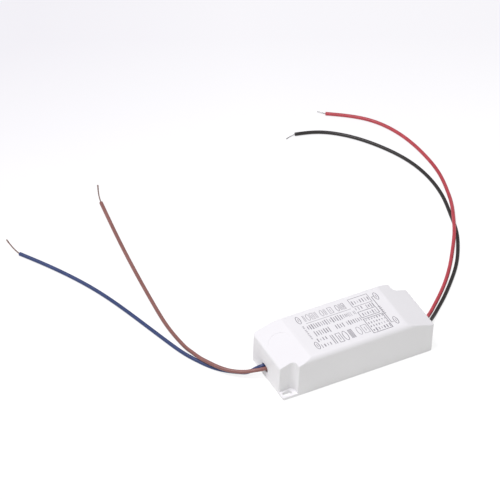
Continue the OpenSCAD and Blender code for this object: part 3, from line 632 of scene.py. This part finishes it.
# Each wire's slot, length, two tones, bundle thickness and metal, its route from the board to the cut, and
# the route of its stripped end; routes in millimetres, as the CAD has them
for wire, slot, length, main, drift, bundle_d, metal_slot, route, tail in (
    ("live_wire", "brown_insulation", 0.1955, tone(152, 104, 97), tone(138, 92, 86), 0.0008, "bare_copper",
     ((-39.5, 2.4, 5.3), (-43, 2.4, 5.3), (-47.5, 2.4, 6.5), (-52.2, 3.6, 6.1), (-58.6, 7.1, 4.5),
      (-63.1, 10.6, 3.8), (-65.9, 13.4, 3.6), (-70.6, 20.4, 3.4), (-72.7, 24.3, 3.4), (-74.7, 28.6, 3.3),
      (-75.9, 34.2, 2.5), (-77.2, 43, 1.1), (-78.5, 60, 1.1), (-77.5, 80, 1.1), (-75.5, 102, 1.1),
      (-73, 125, 1.1), (-70, 148, 1.1), (-66, 175, 1.1)),
     ((-66, 175, 1.1), (-64.2, 181.5, 0.5), (-60.6, 190.8, 0.4))),
    ("neutral_wire", "blue_insulation", 0.184, tone(55, 72, 121), tone(47, 63, 108), 0.0008, "bare_copper",
     ((-39.5, 4.9, 5.3), (-43, 4.9, 5.3), (-47.5, 4.9, 6.5), (-51, 6.2, 5), (-53.8, 7.4, 2.9),
      (-57, 9.4, 1.3), (-61, 12.1, 1.1), (-66, 15.8, 1.1), (-70.5, 20.5, 1.1), (-75.1, 27.7, 1.1),
      (-79.4, 36.4, 1.1), (-84, 50, 1.1), (-89.5, 69, 1.1), (-95.5, 89, 1.1), (-102, 107, 1.1),
      (-109.5, 123, 1.1), (-118.5, 139, 1.1), (-128, 154, 1.1)),
     ((-128, 154, 1.1), (-128.9, 160.5, 0.5), (-129.4, 169, 0.4))),
    ("positive_wire", "red_insulation", 0.246, tone(200, 77, 87), tone(183, 64, 74), 0.0006, "tinned_copper",
     ((39.5, -2.15, 5.3), (43, -2.15, 5.3), (47.5, -2.15, 5.6), (52, -0.3, 4.6), (57.3, 4, 2.5),
      (62.8, 8.8, 1.1), (71, 15.9, 1.1), (82, 26.4, 1.1), (92, 37.9, 1.1), (100.7, 49.6, 1.8),
      (107.9, 60.3, 3.4), (115.2, 74, 3.4), (120.5, 85, 2.1), (125, 98, 1.1), (128.5, 114, 1.1),
      (129, 132, 1.1), (125.5, 155, 1.1), (116, 174.2, 1.1), (94, 192, 1.1)),
     ((94, 192, 1.1), (92.6, 194.4, 0.5), (91, 196.6, 0.3))),
    ("negative_wire", "black_insulation", 0.248, tone(47, 43, 42), tone(38, 35, 34), 0.0006, "tinned_copper",
     ((39.5, -4.65, 5.3), (43, -4.65, 5.3), (47.5, -4.65, 5.6), (52, -3.2, 4.6), (58.4, 1.4, 2.5),
      (64.5, 6.7, 1.1), (73, 13.8, 1.1), (84, 24.2, 1.1), (95, 36.1, 1.1), (104.5, 50, 1.1), (111, 63, 1.1),
      (115, 76, 1.1), (119, 91, 1.1), (120.8, 108, 1.1), (118, 129, 1.1), (109, 149.5, 1.1), (94, 169, 1.1),
      (81, 178.2, 1.1), (67.5, 182.3, 1.1)),
     ((67.5, 182.3, 1.1), (64.2, 182.2, 0.5), (61.3, 181.4, 0.3))),
):
    sheath_line = wire_path(route, SHEATH_SPACING)
    sheath_name = wire + "_sheath"
    sheath = new_object(sheath_name, sheath_mesh(sheath_name, sheath_line, WIRE_D / 2, SHEATH_SIDES))
    sheath.data.materials.append(sheath_material(slot, main, drift))
    tail_line = wire_path(tail, TAIL_SPACING)
    tail_mesh = bpy.data.meshes.new(wire + "_tail_line")
    tail_mesh.from_pydata(tail_line, [(i, i + 1) for i in range(len(tail_line) - 1)], [])
    # Seven round strands lie three abreast, a little loose
    strand_r = bundle_d / 6.2
    bundle = made_by(twisted_strands, wire + "_strands", tail_mesh, {
        "Strands": STRANDS, "Strand Radius": strand_r, "Lay Radius": 2 * strand_r,
        "Turns": (tail_line[-1] - tail_line[0]).length / LAY_LENGTH, "Spread": bundle_d / 2, "Seed": 4,
        "Metal": metals[metal_slot],
    })
    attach(sheath, "root")
    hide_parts(wire)
    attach(bundle, "root")
    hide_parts(wire + "_end")

# Base cover: the white plate that closes the housing from below. It is moulded with the board's posts and
# four snap hooks, and is pressed into a rebate round the housing's bottom edge.
cover_plastic, _, _ = mottled(
    "cover_plastic", tone(243, 242, 245), tone(240, 239, 243),
    scales=(45.0, 2400.0), roughness=(0.42, 0.55), bump=0.00002,
)
finish_node("base_cover", cover_plastic)

# Housing: one white moulded shell, a flat roof that slopes down to both ends, with a slotted ear in each of
# two opposite corners. The tool has broken its edges slightly, and its fine satin grain softens the light.
EDGE_BREAK = 0.0004
# The middle of the ears' slots, a height just over the ears, a sliver's width, and a hair's breadth
SLOT_X, ABOVE_EARS, SLIVER_WIDTH, HAIR = 0.0436, 0.0021, 0.00012, 0.000002
FLAT_ANGLE, SHARP_ANGLE, SMOOTH_ANGLE, FOLD_ANGLE = (math.radians(a) for a in (0.4, 28, 35, 120))


def merged_shell(source):
    """A copy of the shell's triangles, merged into whole flat faces; an ear's faces stay cut at its slot."""
    shell = bmesh.new()
    shell.from_mesh(source.data)
    bmesh.ops.remove_doubles(shell, verts=shell.verts, dist=HAIR)
    for slot_x in (-SLOT_X, SLOT_X):
        bmesh.ops.bisect_plane(
            shell, geom=shell.verts[:] + shell.edges[:] + shell.faces[:], dist=HAIR / 2,
            plane_co=(slot_x, 0, 0), plane_no=(1, 0, 0),
        )
    within = [
        edge for edge in shell.edges
        if any(v.co.z > ABOVE_EARS or abs(abs(v.co.x) - SLOT_X) > HAIR for v in edge.verts)
    ]
    bmesh.ops.dissolve_limit(shell, angle_limit=FLAT_ANGLE, verts=shell.verts, edges=within)
    shell.normal_update()
    return shell


def outer_sharp_edges(shell, width):
    """The sharp edges that face the outside and have room to be rounded by width."""
    skin = BVHTree.FromBMesh(shell)
    sharp = []
    for edge in shell.edges:
        if len(edge.link_faces) != 2 or not edge.is_convex or edge.calc_face_angle() < SHARP_ANGLE:
            continue
        # A step shallower than the rounding, such as the recess in the slope, keeps its edge
        if min(face.calc_area() for face in edge.link_faces) < 2 * width * edge.calc_length():
            continue
        outward = (edge.link_faces[0].normal + edge.link_faces[1].normal).normalized()
        centre = (edge.verts[0].co + edge.verts[1].co) / 2
        # Underneath, only the outermost edge is rounded, because the rim beside the cover is narrow
        if centre.z < 5 * HAIR:
            centre.z = 25 * HAIR
            outward = Vector((outward.x, outward.y, 0)).normalized()
        if skin.ray_cast(centre + outward * 10 * HAIR, outward)[0] is None:
            sharp.append(edge)
    return sharp


def close_slivers(shell):
    """Closes the slivers that fold over where two roundings meet, each into its shortest side, in rounds."""
    rounds = 4
    for _ in range(rounds):
        shell.normal_update()
        folds = [edge for edge in shell.edges if edge.calc_face_angle() > FOLD_ANGLE]
        folded = dict.fromkeys(face for edge in folds for face in edge.link_faces)
        slivers = [
            face for face in folded
            if face.calc_area() < SLIVER_WIDTH * max(edge.calc_length() for edge in face.edges)
        ]
        shortest = dict.fromkeys(min(face.edges, key=lambda edge: edge.calc_length()) for face in slivers)
        bmesh.ops.collapse(shell, edges=list(shortest))


def shell_with_broken_edges(source, width):
    """The shell's mesh with its sharp outer edges rounded, and the long flat faces left flat."""
    shell = merged_shell(source)
    bmesh.ops.bevel(
        shell, geom=outer_sharp_edges(shell, width), offset=width, offset_type="OFFSET", segments=3,
        profile=0.5, affect="EDGES", clamp_overlap=False, miter_outer="SHARP",
    )
    close_slivers(shell)
    for face in shell.faces:
        face.smooth = True
    data = bpy.data.meshes.new("housing_shell")
    shell.to_mesh(data)
    shell.free()
    data.set_sharp_from_angle(angle=SMOOTH_ANGLE)
    return data


def with_even_faces(piece):
    """Lets each large flat face shade flat, and only the narrow roundings beside it turn the light."""
    evened = piece.modifiers.new("even", "WEIGHTED_NORMAL")
    evened.keep_sharp = True
    evened.weight = 100
    data = bpy.data.meshes.new_from_object(piece.evaluated_get(bpy.context.evaluated_depsgraph_get()))
    piece.modifiers.remove(evened)
    piece.data = data


housing = new_object("housing_shell", shell_with_broken_edges(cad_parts["upper_housing"], EDGE_BREAK))
with_even_faces(housing)
white_plastic, _, _ = mottled(
    "white_plastic", tone(245, 245, 245), tone(243, 243, 243),
    scales=(45.0, 2400.0), roughness=(0.4, 0.52), bump=0.00002,
)
housing.data.materials.append(white_plastic)
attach(housing, "root")
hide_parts("upper_housing")

# Print: thin grey ink, pad-printed on the flat of the roof as plain marks: rows of upright strokes, open
# boxes, ovals, dashes and rules. It stands for the rating print and says nothing.
INK_DEPTH = 0.000012
roof_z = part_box("upper_housing")[1][2] + INK_DEPTH / 3


def make_stroke_rows():
    """Upright strokes along each row line, of chance width and height, a few of them left out."""
    tree, given, result = new_group("GeometryNodeTree", "stroke_rows", {
        "Rows": "Geometry", "Pitch": "Float", "Stroke Width": "Float", "Stroke Height": "Float",
        "Ink Depth": "Float", "Kept Share": "Float", "Seed": "Int", "Ink": "Material",
    }, {"Strokes": "Geometry"})
    line = add_node(tree, "GeometryNodeMeshToCurve", {"Mesh": given["Rows"]})
    places = add_node(tree, "GeometryNodeResampleCurve", {
        "Curve": line.outputs["Curve"], "Length": given["Pitch"],
    }, mode="LENGTH")
    size = add_node(tree, "ShaderNodeCombineXYZ", {
        "X": given["Stroke Width"], "Y": given["Stroke Height"], "Z": given["Ink Depth"],
    })
    stroke = add_node(tree, "GeometryNodeMeshCube", {"Size": size.outputs["Vector"]})
    kept = add_node(tree, "FunctionNodeRandomValue", {
        "Probability": given["Kept Share"], "Seed": given["Seed"],
    }, data_type="BOOLEAN")
    varied = add_node(tree, "FunctionNodeRandomValue", {
        "Min": (0.6, 0.5, 1.0), "Max": (1.5, 1.0, 1.0), "Seed": given["Seed"],
    }, data_type="FLOAT_VECTOR")
    strokes = add_node(tree, "GeometryNodeInstanceOnPoints", {
        "Points": places.outputs["Curve"], "Selection": kept.outputs["Value"],
        "Instance": stroke.outputs["Mesh"], "Scale": varied.outputs["Value"],
    })
    feed(result, {"Strokes": realized(tree, strokes.outputs["Instances"], given["Ink"])})
    return tree


grey_print, _, _ = mottled(
    "grey_print", tone(132, 130, 136), tone(148, 146, 152),
    scales=(900.0, 9000.0), roughness=(0.55, 0.75), bump=0.000002,
)
stroke_rows = make_stroke_rows()
printed = bmesh.new()
# Rows, in millimetres on the roof: from, to, middle, stroke height, width, pitch and share of strokes kept
for number, (x_from, x_to, y, high, wide, pitch, share) in enumerate((
    (-20.9, 1.4, 3.9, 4.6, 0.42, 1.36, 0.97),
    (2.6, 8.8, 3.9, 4.2, 0.26, 0.80, 0.94),
    (-20.9, -2.0, -2.1, 4.4, 0.40, 1.36, 0.96),
    (-0.8, 9.0, -2.1, 4.4, 0.48, 1.36, 0.96),
    (-20.7, -15.6, -7.3, 3.0, 0.42, 1.42, 0.96),
    (-20.7, -15.4, -12.4, 3.4, 0.46, 1.36, 0.96),
    (11.0, 20.8, 11.1, 3.6, 0.40, 1.42, 0.95),
    (10.4, 15.8, 6.0, 2.8, 0.34, 1.36, 0.97),
    (17.0, 21.0, 5.4, 3.6, 0.48, 1.30, 0.96),
    (12.0, 19.8, 0.5, 3.2, 0.42, 1.42, 0.95),
    (11.4, 21.4, -4.4, 1.8, 0.44, 1.65, 0.94),
    (11.4, 21.4, -7.2, 1.8, 0.44, 1.65, 0.94),
    (11.4, 21.4, -10.0, 1.8, 0.44, 1.65, 0.94),
    (11.4, 21.4, -13.3, 2.8, 0.48, 1.55, 0.95),
)):
    row_line = bpy.data.meshes.new("print_row_line")
    row_line.from_pydata([(x * MM, y * MM, roof_z) for x in (x_from, x_to)], [(0, 1)], [])
    row = made_by(stroke_rows, "print_row", row_line, {
        "Pitch": pitch * MM, "Stroke Width": wide * MM, "Stroke Height": high * MM,
        "Ink Depth": INK_DEPTH, "Kept Share": share, "Seed": number, "Ink": grey_print,
    })
    printed.from_mesh(row.data)
    bpy.data.objects.remove(row)


def ink_bar(x_from, x_to, y_from, y_to):
    """One filled rectangle of ink, in millimetres on the roof."""
    place = Matrix.Translation(((x_from + x_to) / 2 * MM, (y_from + y_to) / 2 * MM, roof_z))
    size = Matrix.Diagonal(((x_to - x_from) * MM, (y_to - y_from) * MM, INK_DEPTH, 1))
    bmesh.ops.create_cube(printed, size=1, matrix=place @ size)


def ink_loop(outer, inner):
    """A closed line of ink between two outlines of as many points, in millimetres on the roof."""
    loops = [
        [printed.verts.new((x * MM, y * MM, roof_z + side * INK_DEPTH / 2)) for x, y in outline]
        for outline, side in ((outer, -1), (outer, 1), (inner, 1), (inner, -1))
    ]
    for near, far in zip(loops, loops[1:] + loops[:1]):
        for k in range(len(near)):
            n = (k + 1) % len(near)
            printed.faces.new((near[k], near[n], far[n], far[k]))


def ink_frame(x_from, x_to, y_from, y_to, line):
    """An open box."""
    ink_loop(*(
        (
            (x_from + inset, y_from + inset), (x_to - inset, y_from + inset),
            (x_to - inset, y_to - inset), (x_from + inset, y_to - inset),
        )
        for inset in (0, line)
    ))


def ink_oval(x, y, half_x, half_y, line):
    """An upright oval line."""
    points = 36
    angles = [2 * math.pi * k / points for k in range(points)]
    ink_loop(*(
        [(x + (half_x - inset) * math.cos(a), y + (half_y - inset) * math.sin(a)) for a in angles]
        for inset in (0, line)
    ))


# Four ovals near the corners of the print, each with a short bar in it
for x, y in ((-23.0, 11.5), (-23.0, -10.8), (25.8, 10.7), (26.2, -11.3)):
    ink_oval(x, y, 1.3, 3.15, 0.4)
    ink_bar(x - 0.15, x + 0.15, y - 1.2, y + 1.2)
# A rule under the top row, and a column of dashes on the left, each with a shorter one below it
ink_bar(-20.2, 8.0, 7.3, 7.55)
for y in (6.0, 4.7, 2.9, 1.6, -0.1, -1.6, -2.9, -4.4):
    ink_bar(-23.6, -22.4, y - 0.16, y + 0.16)
    ink_bar(-23.35, -22.65, y - 0.74, y - 0.48)
# An upright rule on the right with an arm at each end and five rungs, and three open boxes beside it
RULE_FROM, RULE_TO = 23.0, 23.4
ink_bar(RULE_FROM, RULE_TO, -12.0, 11.2)
for y in (10.9, -12.0):
    ink_bar(RULE_TO, 24.4, y, y + 0.3)
for y in (2.1, 0.6, -0.9, -2.4, -3.9):
    for x_from, x_to in ((22.4, RULE_FROM), (RULE_TO, 24.2)):
        ink_bar(x_from, x_to, y, y + 0.4)
ink_frame(9.6, 22.0, 7.8, 14.8, 0.3)
ink_frame(9.9, 21.5, -1.9, 3.4, 0.38)
ink_frame(9.9, 22.3, -15.6, -2.9, 0.4)
# Simple marks in two rows: from, width, lower and upper end, line and kind
for x, wide, low, high, line, kind in (
    (-20.0, 1.4, 8.9, 14.0, 0.26, "pair"), (-18.0, 2.2, 8.8, 14.2, 0.3, "oval"),
    (-15.3, 2.0, 8.9, 14.0, 0.26, "box"), (-12.8, 1.7, 8.9, 14.0, 0.26, "pair"),
    (-9.4, 2.0, 8.7, 13.9, 0.3, "oval"), (-7.0, 1.6, 8.8, 13.8, 0.26, "pair"),
    (-4.2, 2.6, 8.8, 13.8, 0.26, "box"), (0.4, 2.0, 8.6, 13.9, 0.34, "oval"),
    (2.7, 1.5, 8.7, 13.8, 0.3, "pair"), (4.5, 1.6, 8.7, 13.8, 0.3, "box"),
    (-13.6, 2.4, -14.1, -6.5, 0.42, "pair"), (-10.2, 2.9, -14.2, -6.6, 0.36, "box"),
    (-6.5, 2.9, -14.3, -6.5, 0.4, "oval"), (-2.5, 2.7, -14.0, -6.8, 0.4, "bars"),
    (2.2, 2.7, -13.6, -6.8, 0.3, "oval"), (5.7, 3.4, -13.6, -6.8, 0.28, "box"),
):
    if kind == "pair":
        for left in (x + wide * 0.25 - line / 2, x + wide * 0.75 - line / 2):
            ink_bar(left, left + line, low, high)
    elif kind == "box":
        ink_frame(x, x + wide, low, high, line)
        quarter = (high - low) / 4
        ink_bar(x + (wide - line) / 2, x + (wide + line) / 2, low + quarter, high - quarter)
    elif kind == "oval":
        ink_oval(x + wide / 2, (low + high) / 2, wide / 2, (high - low) / 2, line)
    else:
        for bar in range(4):
            left = x + bar * wide / 4
            ink_bar(left, left + line, low, high)
bmesh.ops.recalc_face_normals(printed, faces=printed.faces)
print_mesh = bpy.data.meshes.new("roof_print")
printed.to_mesh(print_mesh)
printed.free()
# The strokes come with the ink in their second slot; clearing the slots puts every face on the first
print_mesh.materials.clear()
print_mesh.materials.append(grey_print)
roof_print = new_object("roof_print", print_mesh)
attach(roof_print, "root")

# Table and light: a white sweep under a large soft lamp high on the left, in an even room. The camera sees
# the sweep nearly burnt out to white, with a trace of the shadow, and greyer towards the far left by painted
# shade that stands in for the lamp's light falling off.
TABLE_HALF, TABLE_Z = 3.0, -0.00005
table_mesh = bpy.data.meshes.new("table")
table_mesh.from_pydata([
    (x * TABLE_HALF, y * TABLE_HALF, TABLE_Z) for x, y in ((-1, -1), (1, -1), (1, 1), (-1, 1))
], [], [(0, 1, 2, 3)])
table = new_object("table", table_mesh)
table_white, table_shader, _ = mottled(
    "table_white", tone(249, 250, 246), tone(248, 249, 245),
    scales=(3.0, 400.0), roughness=(0.8, 0.9), bump=0.0,
)
table_shader.inputs["Specular IOR Level"].default_value = 0.0
tree = table_white.node_tree
x, y, _ = parts_of(tree, place_on(tree))
# How far a point of the table lies off towards the far side, and how far to the left of that line. Each
# brings its share of painted shade, a grey that stands in for the lamp's light falling off, over a stretch
# of the table
FAR_X, FAR_Y = 0.41, 0.91
far = calculated(tree, "MULTIPLY_ADD", x, FAR_X, calculated(tree, "MULTIPLY", y, FAR_Y))
left = calculated(tree, "MULTIPLY_ADD", x, -FAR_Y, calculated(tree, "MULTIPLY", y, FAR_X))
far_painted_shade = ranged(tree, far, start=0.106, end=0.292, high=0.725)
left_painted_shade = ranged(tree, left, start=0.04, end=0.2, high=0.33)
# The grey is painted shade: the glow the camera sees darkens towards the far left as the lamp's light would
grey = calculated(tree, "ADD", far_painted_shade, left_painted_shade)
seen_glow = add_node(tree, "ShaderNodeEmission", {
    "Color": colour_between(tree, grey, (1.0, 1.0, 1.0, 1.0), (0.77, 0.757, 0.8, 1.0)), "Strength": 0.85,
})
seen_shade = add_node(tree, "ShaderNodeBsdfDiffuse", {"Color": (0.25, 0.25, 0.25, 1.0)})
seen = add_node(tree, "ShaderNodeAddShader", {
    0: seen_glow.outputs["Emission"], 1: seen_shade.outputs["BSDF"],
})
ray = add_node(tree, "ShaderNodeLightPath").outputs
mirrored = calculated(tree, "MAXIMUM", ray["Is Glossy Ray"], ray["Is Transmission Ray"])
looked_at = calculated(tree, "MAXIMUM", ray["Is Camera Ray"], mirrored)
either = add_node(tree, "ShaderNodeMixShader", {
    "Fac": looked_at, 1: table_shader.outputs["BSDF"], 2: seen.outputs["Shader"],
})
feed(tree.nodes["Material Output"], {"Surface": either.outputs["Shader"]})
table.data.materials.append(table_white)

room = bpy.data.worlds.new("room")
room.use_nodes = True
feed(room.node_tree.nodes["Background"], {"Color": (1.0, 1.0, 1.0, 1.0), "Strength": 0.42})
bpy.context.scene.world = room

lamp_data = bpy.data.lights.new("soft_lamp", "AREA")
lamp_data.shape = "DISK"
lamp_data.size = 0.7
lamp_data.energy = 19.0
lamp_data.color = (0.955, 0.92, 0.995)
lamp = new_object("soft_lamp", lamp_data)
lamp_from, lamp_at = Vector((-0.56, 0.06, 1.6)), Vector((0, 0.05, 0))
lamp_turn = (lamp_from - lamp_at).to_track_quat("Z", "Y").to_matrix().to_4x4()
lamp.matrix_world = Matrix.Translation(lamp_from) @ lamp_turn

# Camera: a long lens from the left of the near side, looking down, as the photograph was taken. Its angles,
# aim and distance put the housing's corners and the wires where the photograph has them.
CAMERA_AIM, CAMERA_DISTANCE = Vector((-0.005734, 0.100611, 0.0)), 1.741022
azimuth, elevation, roll = (math.radians(a) for a in (-29.121, 41.18, 2.38))
level = Vector((math.cos(azimuth), math.sin(azimuth), 0))
away = Vector((-math.sin(azimuth), math.cos(azimuth), 0))
back = Vector((0, 0, math.sin(elevation))) - away * math.cos(elevation)
upright = back.cross(level)
right = level * math.cos(roll) + upright * math.sin(roll)
up = upright * math.cos(roll) - level * math.sin(roll)
stand = CAMERA_AIM + back * CAMERA_DISTANCE
camera_data = bpy.data.cameras.new("camera")
camera_data.sensor_width = 36.0
camera_data.lens = 216.0
camera = new_object("camera", camera_data)
camera.matrix_world = Matrix((
    (right.x, up.x, back.x, stand.x),
    (right.y, up.y, back.y, stand.y),
    (right.z, up.z, back.z, stand.z),
    (0, 0, 0, 1),
))
bpy.context.scene.camera = camera
bpy.context.scene.view_settings.view_transform = "Standard"
